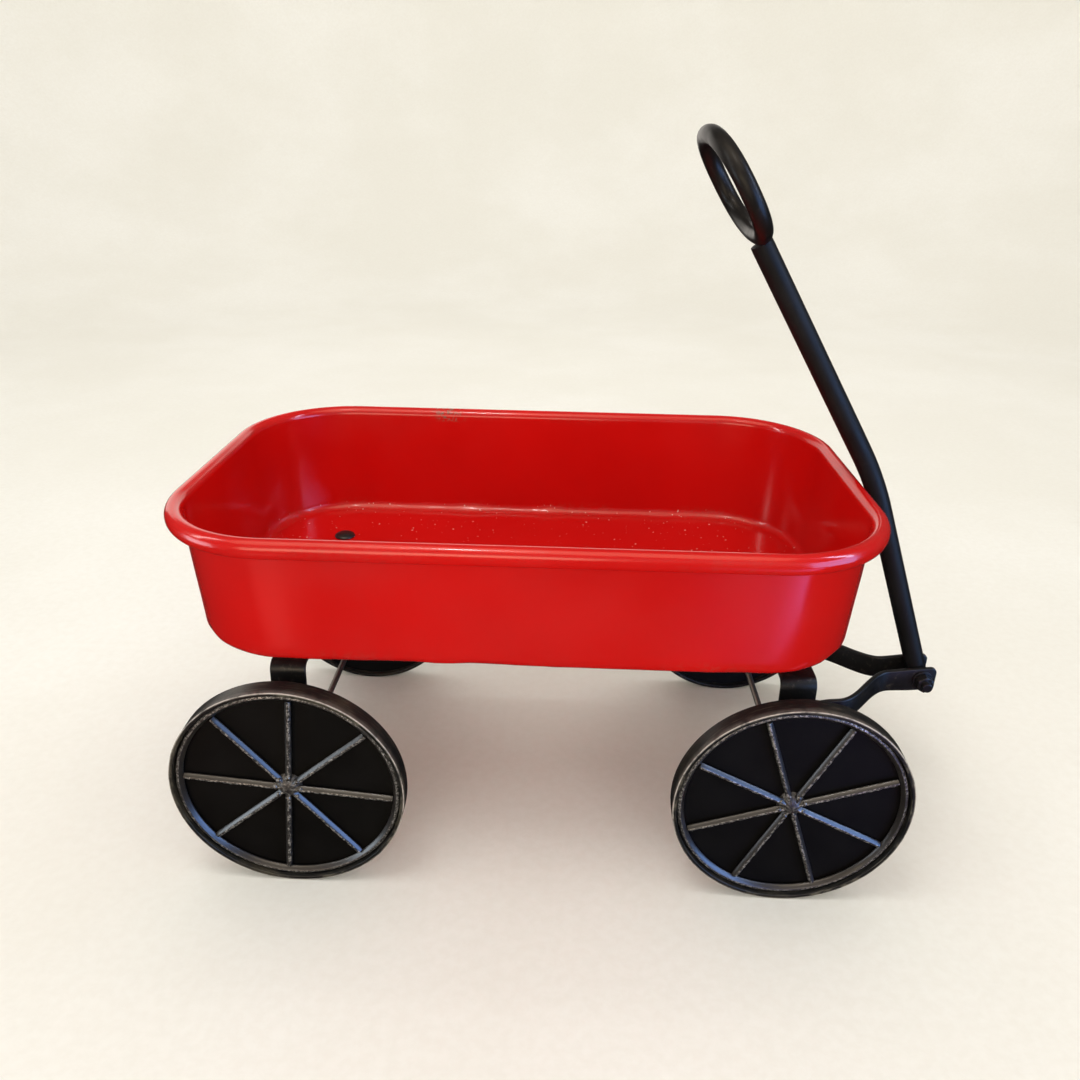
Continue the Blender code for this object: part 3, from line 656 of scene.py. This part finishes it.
def make_wheel(prefix, centre, side, turn):
    """Hoop, disc, ring, hub and spokes with weld, the rubbed side of each bar facing down."""
    body = prefix
    spot = (centre.x, 0, centre.z)
    seed = centre.x * 40 + side * 7
    hoop_low, hoop_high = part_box(prefix + "_hoop")
    radius = (hoop_high.z - hoop_low.z) / 2
    outer = max(abs(hoop_low.y), abs(hoop_high.y))
    inner = min(abs(hoop_low.y), abs(hoop_high.y))
    disc_low, disc_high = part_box(prefix + "_disc")
    face = max(abs(disc_low.y), abs(disc_high.y))
    back = min(abs(disc_low.y), abs(disc_high.y))
    disc_radius = (disc_high.z - disc_low.z) / 2
    thick = radius - disc_radius - GAP

    # hoop: rolled bar with softened edges, slightly dented
    steps = 192
    corners = [(radius, outer), (radius, inner), (radius - thick, inner), (radius - thick, outer)]
    profile = soft_corners(corners, 0.0008, True, 5)
    dense = []
    for one, two in zip(profile, profile[1:] + profile[:1]):
        dense += [tuple(Vector(one).lerp(Vector(two), t / 3)) for t in range(3)]
    dent = 0.0002
    rows = turned_rows([(r - dent, side * d) for r, d in dense], spot, steps=steps, wobble=dent,
                       seed=seed)
    wear = [[smooth(1.3 - math.hypot(d - outer, r - radius) / EDGE_WEAR)] * steps for r, d in dense]
    finish_piece(prefix + "_rolled_hoop", grid_mesh(rows, wrap_ends=True, values={"wear": wear}),
                 "tread", body, [prefix + "_hoop"])

    # disc: flat plate, barely dished
    dish = 0.00025
    rings = [0.0008, 0.012, 0.025, 0.040, 0.055, 0.068, disc_radius - 0.0015, disc_radius]
    plate = [(r, face - dish * math.sin(math.pi * min(r / disc_radius, 1))) for r in rings]
    plate += [(r, back) for r in reversed(rings)]
    rows = turned_rows([(r, side * d) for r, d in plate], spot, steps=128)
    finish_piece(prefix + "_plate", grid_mesh(rows), "disc", body, [prefix + "_disc"])

    # ring: round bar, hammered on its crown
    ring_middle = disc_radius - RING_RADIUS
    ring_y = face + GAP + RING_RADIUS
    around, lump = 360, 0.00022
    rows, wear, polish = [], [], []
    for step in range(around):
        angle = 2 * math.pi * step / around
        row, marks, shine = [], [], []
        for k in range(BAR_SIDES):
            turned = 2 * math.pi * k / BAR_SIDES
            facing = math.sin(turned)
            bump = lump * abs(rough((math.cos(angle) * 5, math.sin(angle) * 5, turned), 5.5, seed))
            reach = RING_RADIUS - lump + bump * max(facing, 0.0) - 0.0001
            in_plane, proud = flattened(math.cos(turned), facing, -FACET[0], FACET[1])
            radial = ring_middle + reach * in_plane
            row.append(Vector((centre.x + radial * math.cos(angle), side * (ring_y + reach * proud),
                               centre.z + radial * math.sin(angle))))
            inward = max(-math.cos(turned), 0.0)
            marks.append(smooth(1.5 - abs(math.cos(turned) - 0.30) / 0.35) * smooth(facing * 3)
                         * (0.55 + 0.9 * rough((angle * 4, 0, 0), 1.0, seed)))
            shine.append(smooth(inward * 2.0) * smooth(facing * 2.0 + 0.5))
        rows.append(row)
        wear.append(marks)
        polish.append(shine)
    mesh = grid_mesh(rows, wrap_ends=True, values={"wear": wear, "polish": polish})
    finish_piece(prefix + "_bar_ring", mesh, "spoke", body, [prefix + "_ring"])

    make_spokes(prefix, centre, side, turn, face, ring_middle - RING_RADIUS - GAP, seed)
    low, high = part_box(prefix + "_hub")
    profile = ring_profile(HUB_BORE, (high.z - low.z) / 2, *sorted((abs(low.y), abs(high.y))))
    turned_piece(prefix + "_sleeve", profile, spot, "strap", body, [prefix + "_hub"], side=side,
                 bevel=0.0005)


def make_spokes(prefix, centre, side, turn, face, reach, seed):
    """Eight round bars from a lumpy weld. The lower side of each is hammered and rubbed."""
    bar_y = face + GAP + SPOKE_RADIUS
    stations, lump = 72, 0.0006
    pieces = []
    for number in range(8):
        angle = turn + math.pi * number / 4
        along = Vector((math.sin(angle), 0, math.cos(angle)))
        across = Vector((along.z, 0, -along.x))
        upper = across if across.z > 0 or (abs(across.z) < 0.05 and across.x < 0) else -across
        upright = 0.25 + 0.75 * smooth(abs(across.z) * 1.6)
        rows, wear, polish = [], [], []
        for step in range(stations + 1):
            t = step / stations
            distance = SPOKE_START + (reach - SPOKE_START) * t
            row, marks, shine = [], [], []
            for k in range(BAR_SIDES):
                turned = 2 * math.pi * k / BAR_SIDES
                up, out = math.cos(turned), math.sin(turned)
                ragged = smooth((0.25 - up) * 1.2) * smooth((out + 0.5) * 1.2)
                bump = lump * rough((distance * 140, up, out), 2.6, seed + number * 5) * ragged
                taper = 1.0 - 0.10 * smooth((t - 0.96) / 0.04)
                size = (SPOKE_RADIUS - lump + bump) * taper
                lift, proud = flattened(up, out, *FACET)
                offset = Vector((0, side * (bar_y + size * proud), 0))
                spot = along * distance + upper * (size * lift) + offset
                row.append(Vector((centre.x, 0, centre.z)) + spot)
                line = smooth(1.5 - abs(up + 0.30) / 0.40) * smooth(out * 3)
                marks.append(line * (0.75 + 0.5 * rough((distance, 0, 0), 120.0, seed + number)))
                shine.append(upright * smooth((up + 0.20) * 2.2) * smooth((out + 0.35) * 1.6))
            rows.append(row)
            wear.append(marks)
            polish.append(shine)
        pieces.append(grid_mesh(rows, values={"wear": wear, "polish": polish}))

    # weld at the middle, with a bead on the inner end of each bar
    dome = [(0.0006, 1.0), (0.0026, 0.97), (0.0046, 0.88), (0.0064, 0.70), (0.0080, 0.46),
            (0.0092, 0.2), (0.0098, 0.0)]
    profile = [(r, side * (face + GAP + WELD_HIGH * h)) for r, h in dome]
    rows = turned_rows(profile, (centre.x, 0, centre.z), steps=64, wobble=0.0011, seed=seed)
    wear = [[0.12 + 0.3 * rough(point, 300.0, seed) for point in row] for row in rows]
    pieces.append(grid_mesh(rows, values={"wear": wear}))
    for number in range(8):
        angle = turn + math.pi * number / 4
        bead = BEAD_RADIUS + 0.0005 * rough((number, 0, 0), 1.7, seed)
        spot = (centre.x + BEAD_FROM_CENTRE * math.sin(angle), side * (face + GAP + BEAD_LIFT),
                centre.z + BEAD_FROM_CENTRE * math.cos(angle))
        ball = [(max(bead * math.sin(math.pi * k / 8), 2 * POINT_LIKE),
                 bead * math.cos(math.pi * k / 8)) for k in range(9)]
        around = 20
        rows = turned_rows(ball, spot, steps=around, wobble=0.0004, seed=seed + number)
        values = {"wear": [[0.3] * around for _ in rows], "polish": [[1.0] * around for _ in rows]}
        pieces.append(grid_mesh(rows, values=values))
    finish_piece(prefix + "_bars", merged(pieces), "spoke", prefix, [prefix + "_spokes"])


# ---------------------------------------------------------------- yoke
def arm_place(x):
    """Distance from the centre line, middle height and half height of an arm at x."""
    low_x, high_x, drop_x = (TRAY_MIDDLE.x + part for part in (ARM_BEND_LOW, ARM_BEND_HIGH, ARM_DROP))
    y = ARM_FAR_Y + (ARM_NEAR_Y - ARM_FAR_Y) * smooth((x - low_x) / (high_x - low_x))
    middle = PIVOT.z - (PIVOT.x - x) * ARM_SLOPE
    drop = min(max(0.0, (drop_x - x) / (drop_x - FRONT.x)), 1.0)
    middle -= (PIVOT.z - (PIVOT.x - FRONT.x) * ARM_SLOPE - FRONT.z) * drop ** 1.5
    half = (ARM_HIGH + (ARM_END_HIGH - ARM_HIGH) * smooth((x - high_x) / 0.02)) / 2
    tip, tail = PIVOT.x + ARM_TIP, FRONT.x - ARM_HIGH / 2
    for distance, radius in ((tip - x, ARM_TIP_ROUND), (x - tail, ARM_HIGH / 2)):
        if distance < radius:
            half -= radius - math.sqrt(max(radius ** 2 - (radius - distance) ** 2, 0))
    return y, middle, max(half, 0.0018)


def make_yoke():
    """Two flat bars that bend in from the front axle to the pivot bolt."""
    tip, tail = PIVOT.x + ARM_TIP, FRONT.x - ARM_HIGH / 2
    look, edge = 0.0008, 0.0009     # how far ahead the slope is read, and the rounding of the edges
    ends = [0.0, 0.0002, 0.0006, 0.0013, 0.0025, 0.0045, 0.0070]
    straight = tip - tail - ARM_HIGH / 2 - ARM_TIP_ROUND
    inner = [tail + ARM_HIGH / 2 + straight * k / 110 for k in range(111)]
    stations = sorted({*[tail + end for end in ends], *inner, *[tip - end for end in ends[:6]]})
    for side, word in ((1, "left"), (-1, "right")):
        rows, wear = [], []
        for x in stations:
            y, middle, half = arm_place(x)
            ahead, behind = arm_place(min(x + look, tip)), arm_place(max(x - look, tail))
            slope = (ahead[0] - behind[0]) / (2 * look)
            through = Vector((-slope, 1.0, 0)).normalized()
            thick = ARM_THICK / 2 - max(0.0, 0.0007 - min(x - tail, tip - x))
            section = flat_section(half, thick, edge)
            rows.append([Vector((x + through.x * depth, side * (y + through.y * depth),
                                 middle + across)) for across, depth in section])
            wear.append([0.4 if abs(abs(across) - half) < edge else 0.03 for across, _ in section])
        finish_piece(f"yoke_bar_{word}", grid_mesh(rows, values={"wear": wear}), "strap", "steering",
                     [f"yoke_arm_{word}"])


def make_pivot():
    """The bolt that the handle tilts on, with its nut and two washers."""
    for word in ("left", "right"):
        make_ring_like(f"pivot_washer_{word}", PIVOT_WASHER_BORE, "fastener", "steering", "y")
    make_nut("pivot_nut", PIN_FLATS, PIN_BORE, "steering", "y")
    spot, tip, top = spot_and_ends("pivot_bolt", "y")
    head_start = top - PIVOT_HEAD_HIGH
    head = hexagon_mesh("y", PIN_FLATS, 0.0, head_start, top, spot)
    inside = head_start + 0.001     # the shank starts a little inside the head
    shank = [(POINT_LIKE, inside), (PIN_SHANK, inside), (PIN_SHANK, tip), (POINT_LIKE, tip)]
    steps = 64
    rows = turned_rows(soft_corners(shank, 0.0007, False), spot, steps=steps)
    body = grid_mesh(rows, values={"wear": [[0.4] * steps for _ in rows]})
    finish_piece("pivot_bolt_fine", merged([head, body]), "fastener", "steering", ["pivot_bolt"],
                 NUT_SHARP)


# ---------------------------------------------------------------- pull handle
def make_handle():
    """The bent tube with closed ends, and the oval grip on top of it."""
    lower, upper = (TUBE_KNEE - PIVOT).normalized(), (GRIP_CENTRE - TUBE_KNEE).normalized()
    grip_base = GRIP_CENTRE - upper * (GRIP_HALF_LONG + GRIP_RADIUS + GAP)
    bend = arc_corner(PIVOT, TUBE_KNEE, grip_base, TUBE_KNEE_RADIUS, 24)
    path = refine([PIVOT - lower * TUBE_TAIL, *bend, grip_base], 0.004)
    sides = 40
    side_way = Vector((0, 1, 0))
    rows, wear = [], []
    for i, point in enumerate(path):
        forward = (path[min(i + 1, len(path) - 1)] - path[max(i - 1, 0)]).normalized()
        out_way = forward.cross(side_way).normalized()
        knee = math.exp(-((point - TUBE_KNEE).length / 0.020) ** 2)
        squashed = TUBE_RADIUS * (1 - 0.025 * knee)
        row = []
        for k in range(sides):
            angle = 2 * math.pi * k / sides
            row.append(point + side_way * (TUBE_RADIUS * math.cos(angle))
                       + out_way * (squashed * math.sin(angle)))
        rows.append(row)
        wear.append([0.05 + 0.5 * smooth(1 - (point - path[0]).length / 0.006)] * sides)
    # closed ends, a little rounded
    for index in (0, -1):
        centre = path[index]
        rim = rows[index]
        rows[index] = [centre + (point - centre) * 0.985 for point in rim]
        outermost = 0 if index == 0 else len(rows)
        rows.insert(outermost, [centre + (point - centre) * 0.9 for point in rim])
        wear.insert(outermost, wear[index])
    finish_piece("handle_bar", grid_mesh(rows, values={"wear": wear}), "tube", "handle",
                 ["handle_tube"], math.radians(40))

    # grip: an even loop of round bar, its centre line smoothed
    steps, sides = 240, 32
    centres = []
    for step in range(steps):
        angle = 2 * math.pi * step / steps
        across = math.copysign(abs(math.cos(angle)) ** GRIP_SQUARENESS, math.cos(angle))
        ahead = math.copysign(abs(math.sin(angle)) ** GRIP_SQUARENESS, math.sin(angle))
        centres.append(GRIP_CENTRE + side_way * (GRIP_HALF_WIDE * across)
                       + upper * (GRIP_HALF_LONG * ahead))
    for _ in range(6):
        centres = [(centres[i - 1] + centres[i] * 2 + centres[(i + 1) % steps]) / 4
                   for i in range(steps)]
    normal = side_way.cross(upper).normalized()
    rows = []
    for i, point in enumerate(centres):
        forward = (centres[(i + 1) % steps] - centres[i - 1]).normalized()
        outward = forward.cross(normal).normalized()
        turns = [2 * math.pi * k / sides for k in range(sides)]
        rows.append([point + outward * (GRIP_RADIUS * math.cos(turned))
                     + normal * (GRIP_RADIUS * math.sin(turned)) for turned in turns])
    mesh = grid_mesh(rows, wrap_ends=True, values={"wear": [[0.10] * sides for _ in rows]})
    finish_piece("grip_loop", mesh, "grip", "handle", ["handle_grip"])


# ---------------------------------------------------------------- all the pieces
make_tray()
make_bracket("rear_bracket", "chassis")
make_bracket("front_bracket", "steering")
for word in ("left", "right"):
    make_dome_bolt("rear_bolt_" + word, BOLT_SHANK, BOLT_HEAD_HIGH, "chassis")
    make_ring_like("rear_spacer_" + word, BOLT_BORE, "strap", "chassis")
    make_ring_like("rear_washer_" + word, BOLT_BORE, "fastener", "chassis")
    make_nut("rear_nut_" + word, BOLT_FLATS, BOLT_BORE, "chassis")
make_dome_bolt("kingpin", PIN_SHANK, PIN_HEAD_HIGH, "chassis")
make_ring_like("kingpin_washer", PIN_BORE, "fastener", "chassis")
make_nut("kingpin_nut", PIN_FLATS, PIN_BORE, "chassis")
make_ring_like("thrust_washer", PIN_BORE, "steel", "steering")
make_post()
make_axle("rear", "chassis")
make_axle("front", "steering")
for prefix, hub_spot, spoke_turn in (("rear", REAR, REAR_TURN), ("front", FRONT, FRONT_TURN)):
    for side, word in ((1, "left"), (-1, "right")):
        make_wheel(f"{prefix}_{word}_wheel", hub_spot, side, spoke_turn)
make_yoke()
make_pivot()
make_handle()


# ---------------------------------------------------------------- floor and backdrop
def make_stage():
    """A pale paper floor that curves up into a wall all round."""
    s = Shade("paper")
    blotches = s.span(s.noise(1.6, 5.0, 0.6), 0.35, 0.70)
    tone = s.mix(blotches, (0.885, 0.870, 0.812), (0.935, 0.925, 0.882))
    fibres = s.noise(120.0, 4.0, 0.7)
    tone = s.mix(s.span(fibres, 0.3, 0.7, 0.0, 0.25), tone, (0.80, 0.77, 0.70))
    s.bump(fibres, 0.08, 0.0008)
    paper = s.set(Base_Color=tone, Roughness=s.span(fibres, 0.2, 0.8, 0.85, 0.97),
                  Specular_IOR_Level=0.0)
    radius, curve, height = 2.2, 1.4, 3.4
    profile = [(2 * POINT_LIKE, 0.0), (0.4, 0.0), (0.9, 0.0), (1.5, 0.0), (radius, 0.0)]
    for k in range(1, 17):
        angle = math.pi / 2 * k / 16
        profile.append((radius + curve * math.sin(angle), curve * (1 - math.cos(angle))))
    profile.append((radius + curve, height))
    mesh = grid_mesh(turned_rows(profile, (0, 0, 0), "z"), caps=False)
    mesh.shade_smooth()
    mesh.flip_normals()
    mesh.materials.append(paper)
    sweep = bpy.data.objects.new("paper_sweep", mesh)
    bpy.context.scene.collection.objects.link(sweep)
    sweep.visible_glossy = False


# ---------------------------------------------------------------- lights and camera
def area_light(name, place, target, size, power, colour, shows, fade=0.0):
    """A rectangular light that shows as diffuse (no reflection) or gloss (only a reflection).

    fade is the power by which it dims across its width, from one edge to the other; 0 is even.
    """
    lamp = bpy.data.lights.new(name, "AREA")
    lamp.shape = "RECTANGLE"
    lamp.size, lamp.size_y = size
    lamp.energy = power
    lamp.color = colour
    if fade:
        lamp.use_nodes = True
        nodes, links = lamp.node_tree.nodes, lamp.node_tree.links
        across_card = nodes.new("ShaderNodeNewGeometry").outputs["Parametric"]
        split = nodes.new("ShaderNodeSeparateXYZ")
        links.new(across_card, split.inputs[0])
        falling = nodes.new("ShaderNodeMath")
        falling.operation = "POWER"
        links.new(split.outputs["X"], falling.inputs[0])
        falling.inputs[1].default_value = fade
        links.new(falling.outputs[0], nodes["Emission"].inputs["Strength"])
    holder = bpy.data.objects.new(name, lamp)
    holder.location = place
    holder.rotation_euler = (Vector(target) - Vector(place)).to_track_quat("-Z", "Y").to_euler()
    holder.visible_camera = False
    holder.visible_glossy = shows != "diffuse"
    holder.visible_diffuse = shows != "gloss"
    bpy.context.scene.collection.objects.link(holder)


def make_lights():
    """Broad soft light for the colours, and cards and windows that only show in the gloss."""
    world = bpy.data.worlds.new("studio")
    world.use_nodes = True
    nodes, links = world.node_tree.nodes, world.node_tree.links
    split = nodes.new("ShaderNodeSeparateXYZ")
    links.new(nodes.new("ShaderNodeTexCoord").outputs["Generated"], split.inputs[0])
    height = nodes.new("ShaderNodeMapRange")
    for key, value in (("From Min", -0.3), ("From Max", 0.5), ("To Min", 0.02), ("To Max", 0.13)):
        height.inputs[key].default_value = value
    links.new(split.outputs["Z"], height.inputs["Value"])
    links.new(height.outputs["Result"], nodes["Background"].inputs["Strength"])
    nodes["Background"].inputs["Color"].default_value = (1.0, 0.97, 0.93, 1.0)
    bpy.context.scene.world = world
    bpy.context.scene.view_settings.view_transform = "Standard"
    white, cream, warm = (1.0, 0.98, 0.95), (1.0, 0.93, 0.85), (1.0, 0.80, 0.55)
    sky, blue, deep_blue = (0.78, 0.90, 1.0), (0.50, 0.66, 1.0), (0.21, 0.43, 0.96)
    violet, rose = (0.62, 0.34, 1.0), (1.0, 0.28, 0.24)
    area_light("ceiling", (0, 0, 3.35), (0, 0, 0), (5.0, 5.0), 76, white, "diffuse")
    area_light("key", (-0.5, -0.4, 2.1), (0, 0, 0.2), (0.9, 0.6), 9, white, "diffuse")
    area_light("front_fill", (0, -2.0, 1.0), (0, 0, 0.2), (2.4, 1.2), 19, white, "diffuse")
    area_light("wall_wash", (0, 0.6, 2.6), (0, 3.4, 1.4), (2.6, 0.5), 21, white, "diffuse")
    area_light("top_panel", (-0.3, -0.75, 2.1), (-0.1, 0, 0.2), (2.2, 1.6), 20, warm, "gloss")
    area_light("glint", (-0.29, -0.85, 2.0), (0, 0, 0.2), (0.14, 0.10), 4.0, white, "gloss")
    area_light("back_card", (-0.75, 1.95, 0.7), (-0.2, 0, 0.25), (3.0, 1.3), 16, cream, "gloss")
    area_light("left_panel", (-1.35, -0.30, 1.05), (0, 0, 0.2), (0.12, 0.9), 5, white, "gloss")
    area_light("front_low", (-0.5, -1.6, 0.45), (-0.1, 0, 0.15), (1.2, 0.55), 8, warm, "gloss")
    area_light("window_high", (1.25, -0.35, 1.15), (0, 0, 0.2), (0.14, 0.9), 10, blue, "gloss")
    area_light("window_low", (1.25, -0.85, 0.30), (0, -0.1, 0.08), (1.1, 1.0), 24, deep_blue, "gloss")
    area_light("left_low", (-1.24, -0.43, 0.15), (-0.2, -0.15, 0.06), (0.55, 0.45), 4, sky, "gloss")
    # cards low in front of the tray's side, brightest at one edge and fading to nothing at the other
    area_light("card_right", (0.215, -0.35, 0.085), (0.215, 0, 0.085), (0.34, 0.14), 0.520, violet,
               "gloss", fade=2.2)
    area_light("card_left", (-0.355, -0.35, 0.085), (-0.355, 0, 0.085), (0.15, 0.14), 0.070, rose,
               "gloss", fade=0.8)


def make_camera():
    """The camera stands in front of the wagon's right side, as high as the handle's grip."""
    yaw, pitch, roll = -0.0272, 0.4349, -0.0185
    level = math.cos(pitch)
    forward = Vector((math.sin(yaw) * level, math.cos(yaw) * level, -math.sin(pitch)))
    right = Vector((math.cos(yaw), -math.sin(yaw), 0))
    down = forward.cross(right)
    right, down = (right * math.cos(roll) + down * math.sin(roll),
                   down * math.cos(roll) - right * math.sin(roll))
    lens = bpy.data.cameras.new("camera")
    lens.sensor_width = 36.0
    lens.lens = 28.93
    holder = bpy.data.objects.new("camera", lens)
    place = Matrix((right, -down, -forward)).transposed().to_4x4()
    place.translation = (-0.0181, -0.6294, 0.5167)
    holder.matrix_world = place
    bpy.context.scene.collection.objects.link(holder)
    bpy.context.scene.camera = holder


make_stage()
make_lights()
make_camera()
